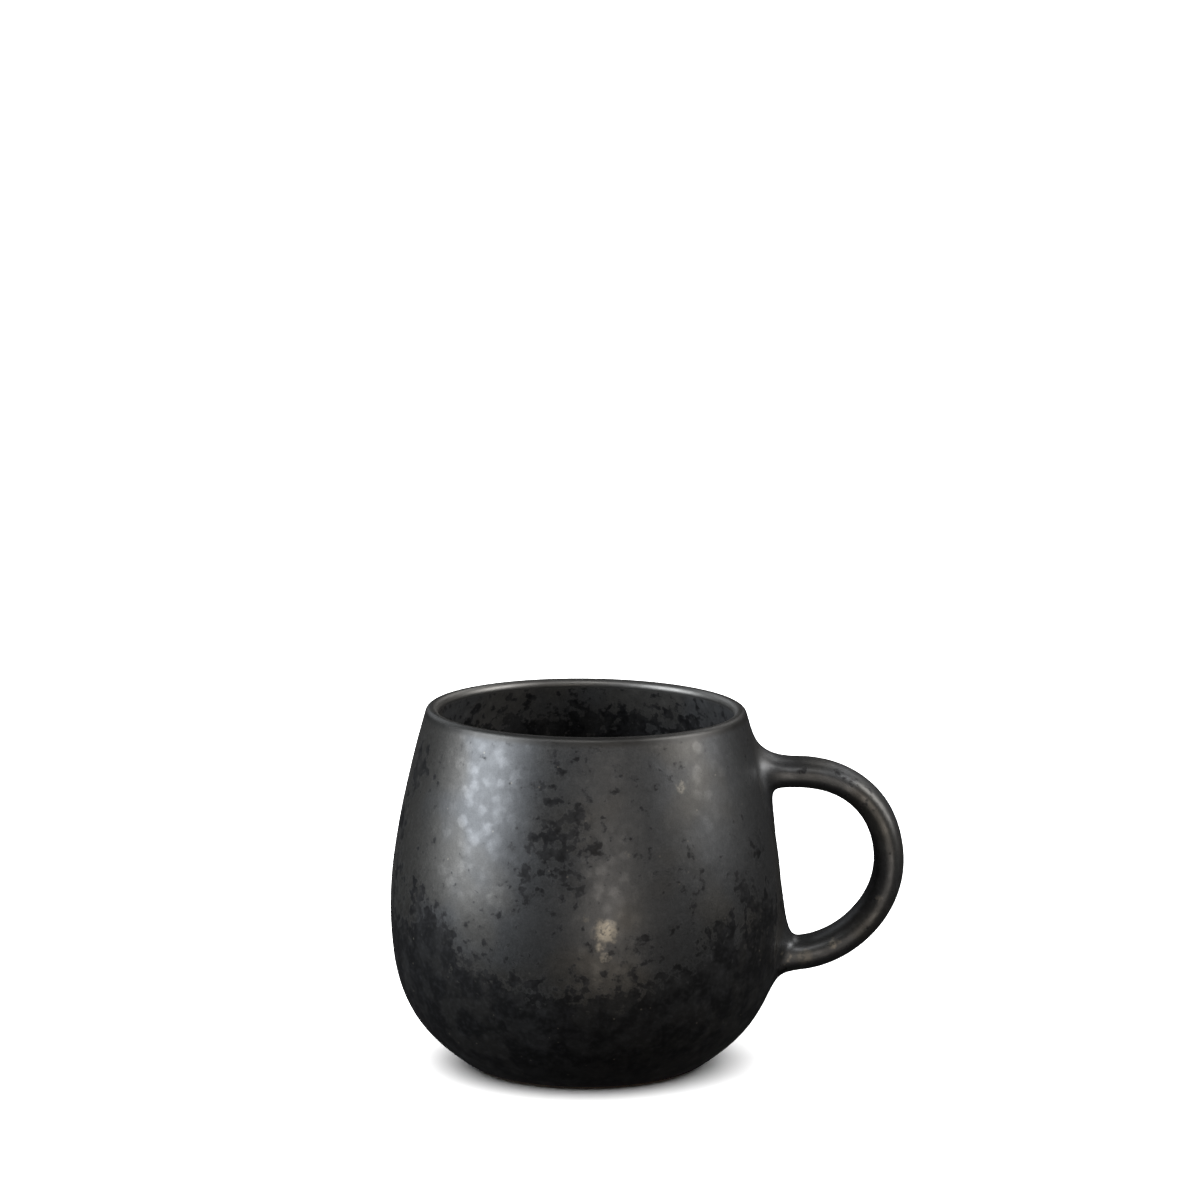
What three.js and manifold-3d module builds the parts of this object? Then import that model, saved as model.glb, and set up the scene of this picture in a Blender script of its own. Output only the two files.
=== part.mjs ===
// A stoneware mug: a rounded cup on a small turned foot ring, with a strap handle luted to its side.
// Millimetres, +Z up, the handle towards +X. The mug stands on z = 0, and the origin is under the middle
// of its bounding box. Inside the group, the cup's own axis is x = y = 0.
//
// The glazed surface drives everything: clay surfaces are the same outlines moved in by the glaze's
// thickness, and the pieces are cut from one another where they meet.

import * as THREE from "three";
import { mergeVertices } from "three/addons/utils/BufferGeometryUtils.js";
import { ParametricGeometry } from "three/addons/geometries/ParametricGeometry.js";
import Module from "manifold-3d";

// ---- driving dimensions -------------------------------------------------------------------------

// Cup, outside, over the glaze.
const BELLY_RADIUS = 48;
const BELLY_HEIGHT = 40.2; // height of the widest point
const FOOT_RADIUS = 28.3; // where the glazed outline would meet the table
const FOOT_SLOPE = 32.4; // degrees above horizontal at which it leaves the table
const FOOT_PULL = 18.2; // how far the outline keeps each end's direction, from foot to lip
const LOWER_BELLY_PULL = 21.25;
const UPPER_BELLY_PULL = 13.5;
const LIP_PULL = 14.6;
const LIP_THICKNESS = 3.14;
const LIP_LEAN = 16.4; // degrees that the wall leans in at the lip
const LIP_CENTRE = new THREE.Vector2(37.72, 86.87); // centre of the lip's rounding

// Cup, inside, over the glaze.
const INNER_BELLY_RADIUS = 44;
const INNER_BELLY_HEIGHT = 41.2;
const FLOOR_HEIGHT = 6.8;
const INNER_LIP_PULL = 15;
const INNER_UPPER_PULL = 14;
const INNER_LOWER_PULL = 26;
const FLOOR_PULL = 31; // half-width of the nearly flat floor

// Foot ring.
const RING_INNER_RADIUS = 23.6;
const RECESS_RADIUS = 21.8;
const RECESS_HEIGHT = 2.4;
const RECESS_FILLET = 1.2;

// Glaze, slip and the clearance left where a piece is cut by its neighbour.
const GLAZE = 0.4;
const SLIP = 1.2;
const GAP = 0.2;
const GLAZE_START = 0.03; // share of the foot-to-belly curve left bare above the table
const SMALLEST_PAD = 1; // cubic millimetres; anything less is a sliver left by cutting

// Handle: its centre line in the X-Z plane, in two stretches that meet at its outermost point.
const HANDLE_TOP = new THREE.Vector2(40.8, 70.8);
const HANDLE_OUT = new THREE.Vector2(74.15, 50.3);
const HANDLE_END = new THREE.Vector2(44.5, 28.05);
const TOP_RISE = 17.2; // degrees above horizontal as it leaves the wall
const END_RISE = 20.4; // degrees above horizontal as it comes back into the wall
const HANDLE_PULLS = [21, 15.8, 15, 13.9];
const HANDLE_WIDTH = 12.9;
const THICKNESS_TOP = 7.3;
const THICKNESS_END = 8.1;
const SECTION_POWER = 2.2; // 2 is an ellipse; a little more is a softly squared strap
const STRAP_START = 0.125; // shares of the centre line between which the strap is free of its flares
const STRAP_END = 0.9;

// Flares: how far each spreads on the wall, above, beside and below the strap; how closely it follows
// the corner between wall and strap on the outside and on the finger gap's side (0 is a straight chamfer,
// 1 a sharp corner); and how far it is pulled off the wall on the finger gap's side.
const UPPER_FLARE = { above: 7, beside: 3.8, below: 12.5, outside: 0.7, loop: 1, lift: 1 };
const LOWER_FLARE = { above: 14.5, beside: 3.4, below: 9, outside: 1, loop: 0.65, lift: 0.6 };

// Facets: segments round the cup and the strap, and steps along each curve.
const LATHE_SEGMENTS = 48;
const FOOT_STEPS = 7;
const WALL_STEPS = 6;
const LIP_STEPS = 4;
const INNER_STEPS = 6;
const FLOOR_STEPS = 6;
const SECTION_SEGMENTS = 20;
const STRAP_STEPS = 16;
const FLARE_STEPS = 6;
const ROOT_DEPTH = 2.5; // how far the cutting shapes run into the wall

// Numerical work: rounds of each search, the step of a slope, and the distance at which points merge.
const HALVINGS = 40;
const MARCHES = 30;
const SLOPE_STEP = 0.1;
const MERGE_DISTANCE = 1e-3;

const wasm = await Module();
wasm.setup();

// ---- outlines of the cup --------------------------------------------------------------------------

const radians = THREE.MathUtils.degToRad;

function direction(degrees) {
  return new THREE.Vector2(Math.cos(radians(degrees)), Math.sin(radians(degrees)));
}

// A cubic curve from one point and direction to another, each direction kept for its own pull.
function curveBetween(start, startDirection, startPull, end, endDirection, endPull) {
  const leave = start.clone().addScaledVector(startDirection, startPull);
  const arrive = end.clone().addScaledVector(endDirection, -endPull);
  return new THREE.CubicBezierCurve(start, leave, arrive, end);
}

const up = direction(90);
const down = direction(-90);
const leanIn = direction(90 + LIP_LEAN);
const lipRadius = LIP_THICKNESS / 2;
const lipStart = LIP_CENTRE.clone().addScaledVector(direction(LIP_LEAN), lipRadius);
const lipEnd = LIP_CENTRE.clone().addScaledVector(direction(LIP_LEAN), -lipRadius);
const belly = new THREE.Vector2(BELLY_RADIUS, BELLY_HEIGHT);
const innerBelly = new THREE.Vector2(INNER_BELLY_RADIUS, INNER_BELLY_HEIGHT);
const footEdge = new THREE.Vector2(FOOT_RADIUS, 0);
const floorCentre = new THREE.Vector2(0, FLOOR_HEIGHT);

// Half-sections of the glazed surface, in order from the foot over the lip to the floor's centre.
const footCurve = curveBetween(footEdge, direction(FOOT_SLOPE), FOOT_PULL, belly, up, LOWER_BELLY_PULL);
const wallCurve = curveBetween(belly, up, UPPER_BELLY_PULL, lipStart, leanIn, LIP_PULL);
const lipCurve = new THREE.EllipseCurve(
  LIP_CENTRE.x, LIP_CENTRE.y, lipRadius, lipRadius, radians(LIP_LEAN), radians(LIP_LEAN + 180), false,
);
const innerCurve = curveBetween(
  lipEnd, leanIn.clone().negate(), INNER_LIP_PULL, innerBelly, down, INNER_UPPER_PULL,
);
const floorCurve = curveBetween(
  innerBelly, down, INNER_LOWER_PULL, floorCentre, direction(180), FLOOR_PULL,
);

// Points of a curve from one share of it to another, moved out from the clay by a distance.
function trace(curve, steps, distance, from = 0, to = 1) {
  const points = [];
  for (let i = 0; i <= steps; i++) {
    const t = from + ((to - from) * i) / steps;
    const along = curve.getTangent(t);
    const out = new THREE.Vector2(along.y, -along.x);
    points.push(curve.getPoint(t).addScaledVector(out, distance));
  }
  return points;
}

function wallOutline(distance) {
  return [
    ...trace(footCurve, FOOT_STEPS, distance, GLAZE_START),
    ...trace(wallCurve, WALL_STEPS, distance).slice(1),
  ];
}

function outsideOutline(distance) {
  return [...wallOutline(distance), ...trace(lipCurve, LIP_STEPS, distance).slice(1)];
}

function insideOutline(distance) {
  const points = [
    ...trace(innerCurve, INNER_STEPS, distance),
    ...trace(floorCurve, FLOOR_STEPS, distance).slice(1),
  ];
  points.at(-1).x = 0;
  return points;
}

// The recess under the floor, from the axis out to the foot ring, moved down by a distance.
function recessOutline(distance) {
  const top = RECESS_HEIGHT - distance;
  const cornerCut = RECESS_FILLET * (1 - Math.SQRT1_2);
  return [
    new THREE.Vector2(0, top),
    new THREE.Vector2(RECESS_RADIUS - RECESS_FILLET, top),
    new THREE.Vector2(RECESS_RADIUS - cornerCut, top - cornerCut),
    new THREE.Vector2(RECESS_RADIUS, top - RECESS_FILLET),
  ];
}

// Radius of the outside at a height, moved out by a distance.
function wallRadius(height, distance) {
  const curve = height < BELLY_HEIGHT ? footCurve : wallCurve;
  let low = 0;
  let high = 1;
  for (let i = 0; i < HALVINGS; i++) {
    const middle = (low + high) / 2;
    const [point] = trace(curve, 1, distance, middle);
    if (point.y < height) low = middle;
    else high = middle;
  }
  return trace(curve, 1, distance, low)[0].x;
}

// The outward direction of the outside at a point on it.
function wallNormal(point) {
  const wider = wallRadius(point.z + SLOPE_STEP, 0) - wallRadius(point.z - SLOPE_STEP, 0);
  const radius = Math.hypot(point.x, point.y);
  return new THREE.Vector3(point.x / radius, point.y / radius, -wider / (2 * SLOPE_STEP)).normalize();
}

// ---- solids ---------------------------------------------------------------------------------------

function solidOf(geometry) {
  const bare = geometry.index ? geometry.toNonIndexed() : geometry.clone();
  bare.deleteAttribute("normal");
  bare.deleteAttribute("uv");
  const merged = mergeVertices(bare, MERGE_DISTANCE);
  const mesh = new wasm.Mesh({
    numProp: 3,
    vertProperties: new Float32Array(merged.attributes.position.array),
    triVerts: new Uint32Array(merged.index.array),
  });
  return new wasm.Manifold(mesh);
}

function geometryOf(solid) {
  const mesh = solid.getMesh();
  const geometry = new THREE.BufferGeometry();
  geometry.setAttribute("position", new THREE.BufferAttribute(mesh.vertProperties, 3));
  geometry.setIndex(new THREE.BufferAttribute(mesh.triVerts, 1));
  geometry.computeVertexNormals();
  return geometry;
}

// A profile turned about the cup's axis. Seen with the axis upright on its left, it runs anticlockwise.
function turned(profile) {
  return new THREE.LatheGeometry(profile, LATHE_SEGMENTS).rotateX(Math.PI / 2);
}

// Everything inside the cup's outside surface moved out by a distance, for cutting.
function wallCore(distance) {
  const outline = wallOutline(distance);
  const base = new THREE.Vector2(0, outline[0].y);
  const top = new THREE.Vector2(0, outline.at(-1).y);
  return solidOf(turned([base, ...outline, top]));
}

// ---- handle ---------------------------------------------------------------------------------------

const strapLine = new THREE.CurvePath();
strapLine.add(
  curveBetween(HANDLE_TOP, direction(TOP_RISE), HANDLE_PULLS[0], HANDLE_OUT, down, HANDLE_PULLS[1]),
);
strapLine.add(
  curveBetween(
    HANDLE_OUT, down, HANDLE_PULLS[2], HANDLE_END, direction(180 - END_RISE), HANDLE_PULLS[3],
  ),
);

// Strap section at a share of the centre line and an angle round it (0 is the outer side of the loop,
// a quarter turn is +Y), shrunk by an inset.
function strapPoint(share, angle, inset) {
  const centre = strapLine.getPoint(share);
  const along = strapLine.getTangent(share);
  const thickness = THREE.MathUtils.lerp(THICKNESS_TOP, THICKNESS_END, share ** 3);
  const rounded = (value) => Math.sign(value) * Math.abs(value) ** (2 / SECTION_POWER);
  const out = (thickness / 2 - inset) * rounded(Math.cos(angle));
  const across = (HANDLE_WIDTH / 2 - inset) * rounded(Math.sin(angle));
  return new THREE.Vector3(centre.x - along.y * out, across, centre.y + along.x * out);
}

// Where a line from a point, along a direction in the X-Z plane, meets the cup's outside.
function meetWall(point, along, inset) {
  const hit = point.clone();
  for (let i = 0; i < MARCHES; i++) {
    const excess = Math.hypot(hit.x, hit.y) - wallRadius(hit.z, -inset);
    hit.addScaledVector(along, excess / -along.x);
  }
  return hit;
}

// How the handle's surface runs from the wall to one end of the strap, at one angle round the strap.
// It leaves along the wall's surface, or nearly so. A margin spreads its foot further over the wall.
function flareCurve(share, towardsWall, flare, angle, inset, margin) {
  const strapEnd = strapPoint(share, angle, inset);
  const corner = meetWall(strapEnd, towardsWall, inset);
  const outwards = strapLine.getTangent(share).x > 0 ? 1 : -1;
  const lift = outwards * Math.cos(angle);
  const side = Math.sin(angle);
  const tall = lift > 0 ? flare.above : flare.below;
  const spread = flare.beside + (tall - flare.beside) * lift ** 2 + inset + margin;
  const rim = new THREE.Vector3(0, corner.y + spread * side, corner.z + spread * lift);
  rim.x = Math.sqrt(wallRadius(rim.z, -inset) ** 2 - rim.y ** 2);
  const loopSide = Math.max(-Math.cos(angle), 0);
  const tightness = THREE.MathUtils.lerp(flare.outside, flare.loop, loopSide);
  const normal = wallNormal(rim);
  const alongWall = corner.clone().sub(rim).projectOnPlane(normal);
  const leaveWall = rim.clone().addScaledVector(alongWall, tightness);
  leaveWall.addScaledVector(normal, flare.lift * loopSide);
  const joinStrap = strapEnd.clone().lerp(corner, tightness);
  return new THREE.CubicBezierCurve3(rim, leaveWall, joinStrap, strapEnd);
}

function joint(share, flare) {
  const along = strapLine.getTangent(share);
  const sign = along.x > 0 ? -1 : 1;
  const towardsWall = new THREE.Vector3(along.x * sign, 0, along.y * sign);
  return (angle, inset, margin = 0) => flareCurve(share, towardsWall, flare, angle, inset, margin);
}

const upperJoint = joint(STRAP_START, UPPER_FLARE);
const lowerJoint = joint(STRAP_END, LOWER_FLARE);

// A closed solid from functions that each give one ring of points by angle, with a point at each end.
function lofted(rings) {
  const middle = (ring) => {
    const sum = new THREE.Vector3();
    for (let i = 0; i < SECTION_SEGMENTS; i++) sum.add(ring((i / SECTION_SEGMENTS) * 2 * Math.PI));
    return sum.divideScalar(SECTION_SEGMENTS);
  };
  const first = middle(rings[0]);
  const last = middle(rings.at(-1));
  const all = [() => first, ...rings, () => last];
  const surface = (u, v, target) => {
    const turn = Math.round(u * SECTION_SEGMENTS) % SECTION_SEGMENTS;
    const angle = (turn / SECTION_SEGMENTS) * 2 * Math.PI;
    target.copy(all[Math.round(v * (all.length - 1))](angle));
  };
  const solid = solidOf(new ParametricGeometry(surface, SECTION_SEGMENTS, all.length - 1));
  return solid.volume() < 0 ? lofted([...rings].reverse()) : solid;
}

// The foot of a flare, moved straight into the wall by a depth.
function rooted(curves, depth, inset, margin = 0) {
  return (angle) => curves(angle, inset, margin).getPoint(0).add(new THREE.Vector3(-depth, 0, 0));
}

// The handle with both flares, its ends run into the wall, everything moved in by an inset.
function handleForm(inset) {
  const rings = [rooted(upperJoint, ROOT_DEPTH, inset)];
  for (let i = 0; i < FLARE_STEPS; i++) {
    rings.push((angle) => upperJoint(angle, inset).getPoint(i / FLARE_STEPS));
  }
  for (let i = 0; i <= STRAP_STEPS; i++) {
    const share = THREE.MathUtils.lerp(STRAP_START, STRAP_END, i / STRAP_STEPS);
    rings.push((angle) => strapPoint(share, angle, inset));
  }
  for (let i = FLARE_STEPS - 1; i >= 0; i--) {
    rings.push((angle) => lowerJoint(angle, inset).getPoint(i / FLARE_STEPS));
  }
  rings.push(rooted(lowerJoint, ROOT_DEPTH, inset));
  return lofted(rings);
}

// A plug through the wall under one joint, a clearance larger than the joint's footprint.
function footprint(curves) {
  return lofted([rooted(curves, ROOT_DEPTH, 0, GAP), rooted(curves, -ROOT_DEPTH, 0, GAP)]);
}

// ---- materials ------------------------------------------------------------------------------------

function finish(color, roughness, metalness) {
  return new THREE.MeshStandardMaterial({ color, roughness, metalness });
}

const materials = {
  clay: () => finish(0x8c7a66, 0.85, 0),
  slip: () => finish(0x97866f, 0.8, 0),
  reactiveGlaze: () => finish(0x34322f, 0.42, 0.45),
  linerGlaze: () => finish(0x161616, 0.25, 0.05),
};

// ---- the pieces -----------------------------------------------------------------------------------

const mug = new THREE.Group();

function add(name, geometry, material) {
  const mesh = new THREE.Mesh(geometry, material());
  mesh.name = name;
  mug.add(mesh);
}

// Clay wall, floor, lip and foot ring. The bare ring meets the table between its two edges.
const ringOuterRadius = FOOT_RADIUS - GLAZE / Math.sin(radians(FOOT_SLOPE));
const claySection = [
  ...recessOutline(-GLAZE),
  new THREE.Vector2(RING_INNER_RADIUS, 0),
  new THREE.Vector2(ringOuterRadius, 0),
  ...outsideOutline(-GLAZE),
  ...insideOutline(-GLAZE).slice(1),
];
add("cup_body", turned(claySection), materials.clay);

// Clay strap handle, stopping short of the wall by the slip's thickness.
const handleClay = handleForm(GLAZE);
add("handle", geometryOf(handleClay.subtract(wallCore(SLIP + GAP - GLAZE))), materials.clay);

// The two pads of slip between the handle's ends and the wall.
const pads = handleClay
  .intersect(wallCore(SLIP - GLAZE))
  .subtract(wallCore(GAP - GLAZE))
  .decompose()
  .filter((pad) => pad.volume() > SMALLEST_PAD)
  .sort((a, b) => b.boundingBox().max[2] - a.boundingBox().max[2]);
add("upper_slip_joint", geometryOf(pads[0]), materials.slip);
add("lower_slip_joint", geometryOf(pads[1]), materials.slip);

// Reactive glaze over the outside and the lip, open under the handle's two joints.
const outerSection = [...outsideOutline(0), ...outsideOutline(-GLAZE).reverse()];
outerSection.push(outerSection[0].clone());
const outerGlaze = solidOf(turned(outerSection))
  .subtract(footprint(upperJoint))
  .subtract(footprint(lowerJoint));
add("outer_glaze", geometryOf(outerGlaze), materials.reactiveGlaze);

// Liner glaze, from the inner edge of the lip down over the floor.
const liner = [...insideOutline(-GLAZE).reverse(), ...insideOutline(0)];
add("inner_glaze", turned(liner), materials.linerGlaze);

// Glaze in the recess inside the foot ring.
const recessGlaze = [...recessOutline(0), ...recessOutline(-GLAZE).reverse()];
add("foot_glaze", turned(recessGlaze), materials.linerGlaze);

// Reactive glaze over the handle and its joints.
const handleGlaze = handleForm(0).subtract(handleClay).subtract(wallCore(GAP - GLAZE));
add("handle_glaze", geometryOf(handleGlaze), materials.reactiveGlaze);

// The origin goes under the middle of the bounding box.
const bounds = new THREE.Box3().setFromObject(mug);
mug.position.x = (bounds.min.x + bounds.max.x) / -2;

export default mug;
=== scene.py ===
# A stoneware mug with a satin, metallic-black reactive glaze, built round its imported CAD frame.
# Outlines are worked out in millimetres from the cup's own axis and turned into metres in the frame.

import math

import bpy
import numpy as np
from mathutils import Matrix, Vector, noise


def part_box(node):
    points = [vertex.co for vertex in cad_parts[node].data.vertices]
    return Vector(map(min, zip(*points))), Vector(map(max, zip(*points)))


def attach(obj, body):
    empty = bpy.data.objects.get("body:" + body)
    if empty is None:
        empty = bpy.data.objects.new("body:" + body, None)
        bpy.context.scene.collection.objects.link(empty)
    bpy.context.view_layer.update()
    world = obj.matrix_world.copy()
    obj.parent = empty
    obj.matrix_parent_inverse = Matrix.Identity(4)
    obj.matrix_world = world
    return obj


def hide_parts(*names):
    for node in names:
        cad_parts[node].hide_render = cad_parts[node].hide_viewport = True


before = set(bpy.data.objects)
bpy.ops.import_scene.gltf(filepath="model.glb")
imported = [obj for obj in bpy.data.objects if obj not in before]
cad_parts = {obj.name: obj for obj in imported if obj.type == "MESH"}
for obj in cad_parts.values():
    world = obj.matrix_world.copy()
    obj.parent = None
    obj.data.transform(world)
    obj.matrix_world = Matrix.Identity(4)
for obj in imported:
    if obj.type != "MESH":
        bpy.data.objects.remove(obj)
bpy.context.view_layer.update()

MM = 0.001

# ---- places and sizes taken from the frame --------------------------------------------------------

glaze_low, glaze_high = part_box("outer_glaze")
body_low, body_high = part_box("cup_body")
recess_low, recess_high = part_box("foot_glaze")
CUP_X = (body_low.x + body_high.x) / 2
BELLY_RADIUS = (glaze_high.y - glaze_low.y) / 2 / MM
RIM_HEIGHT = glaze_high.z / MM
RECESS_RADIUS = (recess_high.y - recess_low.y) / 2 / MM

# ---- driving dimensions, millimetres and degrees ---------------------------------------------------

# A pull is the distance from a curve's end to its Bezier control point.

# Cup, outside, over the glaze.
BELLY_HEIGHT = 40.2
FOOT_RADIUS = 28.3
FOOT_SLOPE = 32.4
FOOT_PULL = 18.2
LOWER_BELLY_PULL = 21.25
UPPER_BELLY_PULL = 13.5
LIP_PULL = 14.6
LIP_RADIUS = 1.57
LIP_LEAN = 16.4
LIP_CENTRE = (37.72, RIM_HEIGHT - LIP_RADIUS)

# Cup, inside, over the glaze.
INNER_BELLY_RADIUS = BELLY_RADIUS - 4
INNER_BELLY_HEIGHT = BELLY_HEIGHT + 1
FLOOR_HEIGHT = 6.8
INNER_LIP_PULL = 15
INNER_UPPER_PULL = 14
INNER_LOWER_PULL = 26
FLOOR_PULL = 31

# Foot.
RING_INNER_RADIUS = 23.6
RECESS_HEIGHT = 2.4
RECESS_FILLET = 1.2
RING_ROUNDING = 0.5
ROUNDING_INSET = 0.2  # where a rounding's middle point stands, as a share of the rounding
ROUNDING_LIFT = 0.12  # and how high it stands at the ring's outer edge

# Glaze and slip.
GLAZE = 0.4
SLIP_SHARE = 0.3  # share of each flare, from the wall, that is slip and not handle
BARE_FOOT = 0.008  # share of the foot curve left bare above the table
GLAZE_ROLL = 0.04  # share of the foot curve over which the glaze reaches its full thickness
ROLL_START = 0.2  # share of that thickness at the glaze's lower edge

# Handle, in the X-Z plane, over the glaze.
HANDLE_TOP = (40.8, 70.8)
HANDLE_OUT = (74.15, 50.3)
HANDLE_END = (44.5, 28.05)
TOP_RISE = 17.2
END_RISE = 20.4
UPPER_PULLS = (21, 15.8)
LOWER_PULLS = (15, 13.9)
HANDLE_WIDTH = 12.9
THICKNESS_TOP = 7.3
THICKNESS_END = 8.1
SECTION_POWER = 2.5
STRAP_START = 0.125
STRAP_END = 0.9

# How far each flare reaches along the wall above, beside and below the strap; how tightly it turns on
# the outside of the loop and on its inside, as shares; and how far its inner side lifts off the wall.
UPPER_FLARE = {"above": 7, "beside": 3.8, "below": 12.5, "outside": 0.7, "loop": 1, "lift": 1}
LOWER_FLARE = {"above": 14.5, "beside": 3.4, "below": 9, "outside": 1, "loop": 0.65, "lift": 0.6}

# Unevenness of a hand-finished pot.
RIM_TILT = 0.010  # fall of the rim towards the handle, per millimetre
SWELL = 0.07  # height of the glaze's slow undulation
SWELL_LENGTH = 9.0
DIMPLE = 0.02
DIMPLE_LENGTH = 3.2
SMOOTH_RIM = 4  # height under the rim that has no swells
SWELL_FADE = 6  # height over which they fade out below that

# Facets.
ROUND_STEPS = 224
CURVE_STEPS = 44
LIP_STEPS = 18
STRAP_ROUND_STEPS = 88
STRAP_STEPS = 150
FLARE_STEPS = 26
FILLET_STEPS = 8
RECESS_STEPS = 11
CUP_SAMPLES = 400  # on each curve of the cup's outside, from which its radius at a height is read
HANDLE_SAMPLES = 300  # on each curve of the handle's centre line
MEETING_STEPS = 30  # steps in which a line is walked to the wall
SHARP_ANGLE = 42  # edges that turn by more degrees than this stay sharp


# ---- outlines --------------------------------------------------------------------------------------

def direction(degrees):
    """Unit direction in an outline's plane, turned up from straight outwards."""
    angle = math.radians(degrees)
    return np.array([math.cos(angle), math.sin(angle)])


def cubic(controls, shares):
    """Points of a cubic Bezier curve and its directions, at shares of its parameter."""
    p0, p1, p2, p3 = [np.asarray(p, float) for p in controls]
    t = np.asarray(shares, float)[:, None]
    points = (1 - t) ** 3 * p0 + 3 * (1 - t) ** 2 * t * p1 + 3 * (1 - t) * t * t * p2 + t ** 3 * p3
    along = (1 - t) ** 2 * (p1 - p0) + 2 * (1 - t) * t * (p2 - p1) + t * t * (p3 - p2)
    return points, along / np.linalg.norm(along, axis=1, keepdims=True)


def between(start, leaving, pull_start, end, arriving, pull_end):
    """Controls of a curve that leaves and arrives along given directions."""
    start, end = np.asarray(start, float), np.asarray(end, float)
    return start, start + leaving * pull_start, end - arriving * pull_end, end


UP, DOWN = direction(90), direction(-90)
LEAN_IN = direction(90 + LIP_LEAN)
LIP_START = np.array(LIP_CENTRE) + direction(LIP_LEAN) * LIP_RADIUS
LIP_END = np.array(LIP_CENTRE) - direction(LIP_LEAN) * LIP_RADIUS
BELLY = (BELLY_RADIUS, BELLY_HEIGHT)
INNER_BELLY = (INNER_BELLY_RADIUS, INNER_BELLY_HEIGHT)

FOOT_CURVE = between((FOOT_RADIUS, 0), direction(FOOT_SLOPE), FOOT_PULL, BELLY, UP, LOWER_BELLY_PULL)
WALL_CURVE = between(BELLY, UP, UPPER_BELLY_PULL, LIP_START, LEAN_IN, LIP_PULL)
INNER_CURVE = between(LIP_END, -LEAN_IN, INNER_LIP_PULL, INNER_BELLY, DOWN, INNER_UPPER_PULL)
FLOOR_CURVE = between(INNER_BELLY, DOWN, INNER_LOWER_PULL, (0, FLOOR_HEIGHT), direction(180), FLOOR_PULL)


def lip():
    """The half circle over the lip, from its outside to its inside."""
    angles = np.radians(np.linspace(LIP_LEAN, LIP_LEAN + 180, LIP_STEPS + 1))
    out = np.stack([np.cos(angles), np.sin(angles)], 1)
    return np.array(LIP_CENTRE) + out * LIP_RADIUS, np.stack([-out[:, 1], out[:, 0]], 1)


def moved_out(points, along, distance):
    """Points moved away from the clay by a distance, or by one distance each."""
    out = np.stack([along[:, 1], -along[:, 0]], 1)
    return points + out * np.reshape(distance, (-1, 1))


def joined(*stretches):
    """Stretches of outline end to end, each given as (points, directions), as one."""
    points = [stretches[0][0]] + [s[0][1:] for s in stretches[1:]]
    along = [stretches[0][1]] + [s[1][1:] for s in stretches[1:]]
    return np.vstack(points), np.vstack(along)


def outside(start_share):
    """The cup's outside and lip, from a share of the foot curve upwards."""
    foot_shares = np.linspace(start_share, 1, CURVE_STEPS + 1)
    wall_shares = np.linspace(0, 1, CURVE_STEPS + 1)
    return joined(cubic(FOOT_CURVE, foot_shares), cubic(WALL_CURVE, wall_shares), lip())


def inside(depth):
    """The cup's inside from the lip to the middle of its floor, moved into the clay by a depth."""
    shares = np.linspace(0, 1, CURVE_STEPS + 1)
    points = moved_out(*joined(cubic(INNER_CURVE, shares), cubic(FLOOR_CURVE, shares)), -depth)
    points[-1, 0] = 0
    return points


def recess(drop):
    """The recess under the floor, from the axis out to the ring, moved down by a distance."""
    top = RECESS_HEIGHT - drop
    flat_radius = RECESS_RADIUS - RECESS_FILLET
    angles = np.radians(np.linspace(90, 0, FILLET_STEPS + 1))
    corner = np.stack([np.cos(angles), np.sin(angles)], 1) * RECESS_FILLET
    corner += (flat_radius, top - RECESS_FILLET)
    flat = [(radius, top) for radius in np.linspace(0, flat_radius, RECESS_STEPS + 1)[:-1]]
    return np.vstack([flat, corner])


def sampled(first, second, count):
    """Two curves end to end, each at count even shares of its parameter."""
    shares = np.linspace(0, 1, count)
    return joined(cubic(first, shares), cubic(second, shares))


WALL_SAMPLES = sampled(FOOT_CURVE, WALL_CURVE, CUP_SAMPLES)


def wall_radius(height, inset=0):
    """Radius of the cup's outside at a height, moved in by an inset."""
    points = moved_out(*WALL_SAMPLES, -inset)
    return np.interp(height, points[:, 1], points[:, 0])


def wall_normal(points):
    """The outward direction of the cup's outside at points on it."""
    step = 0.2
    slope = (wall_radius(points[:, 2] + step) - wall_radius(points[:, 2] - step)) / (2 * step)
    radius = np.hypot(points[:, 0], points[:, 1])
    normal = np.stack([points[:, 0] / radius, points[:, 1] / radius, -slope], 1)
    return normal / np.linalg.norm(normal, axis=1, keepdims=True)


# ---- handle ----------------------------------------------------------------------------------------

TOP_WAY, END_WAY = direction(TOP_RISE), direction(180 - END_RISE)
UPPER_LINE = between(HANDLE_TOP, TOP_WAY, UPPER_PULLS[0], HANDLE_OUT, DOWN, UPPER_PULLS[1])
LOWER_LINE = between(HANDLE_OUT, DOWN, LOWER_PULLS[0], HANDLE_END, END_WAY, LOWER_PULLS[1])
LINE_SAMPLES = sampled(UPPER_LINE, LOWER_LINE, HANDLE_SAMPLES)
LINE_STEPS = np.linalg.norm(np.diff(LINE_SAMPLES[0], axis=0), axis=1)
LINE_LENGTHS = np.concatenate([[0], np.cumsum(LINE_STEPS)])
LINE_SHARES = LINE_LENGTHS / LINE_LENGTHS[-1]
TURNS = np.arange(STRAP_ROUND_STEPS) / STRAP_ROUND_STEPS * 2 * math.pi


def centre_line(share):
    """Point and direction of the handle's centre line at a share of its length."""
    points, along = LINE_SAMPLES
    point = np.array([np.interp(share, LINE_SHARES, points[:, k]) for k in (0, 1)])
    heading = np.array([np.interp(share, LINE_SHARES, along[:, k]) for k in (0, 1)])
    return point, heading / np.linalg.norm(heading)


def softly_squared(values):
    """Sines or cosines of an oval, pushed towards those of a rounded rectangle."""
    return np.sign(values) * np.abs(values) ** (2 / SECTION_POWER)


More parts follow.
